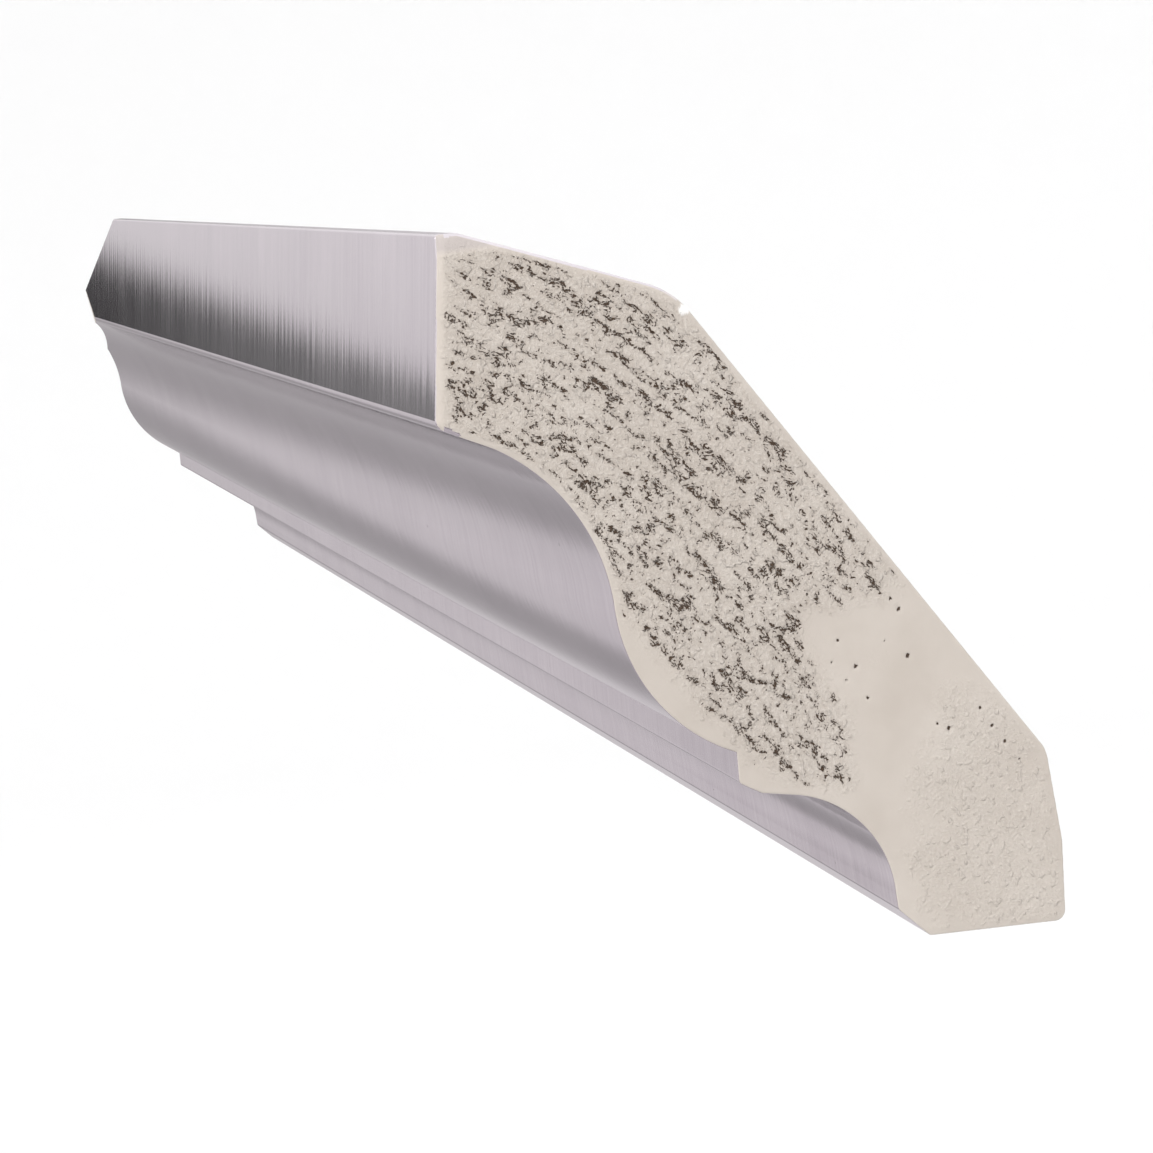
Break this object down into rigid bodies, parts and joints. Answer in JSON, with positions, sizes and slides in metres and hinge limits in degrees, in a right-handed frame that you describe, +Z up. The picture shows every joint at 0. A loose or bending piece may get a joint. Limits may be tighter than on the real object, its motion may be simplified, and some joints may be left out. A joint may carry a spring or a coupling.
{
  "type": "crown moulding length",
  "caption": "Length of sprung crown moulding with a tall plain fascia, cove and ovolo, small step and foot cove, pearly silver lacquer on the room side and painted sawn ends",
  "frame": {"origin": "the middle of the narrow plumb face at the foot of the back, where the moulding bears on the wall", "axes": "+X runs along the length to the near sawn end, +Y points into the wall, +Z is up"},
  "size_m": [0.47, 0.0673, 0.08],
  "materials": {
    "silver_lacquer": "pearly silver lacquer over primed timber, satin gloss with fine streaks across the length"
  },
  "bodies": {
    "root": {"crown_moulding_length": "silver_lacquer"}
  },
  "joints": []
}
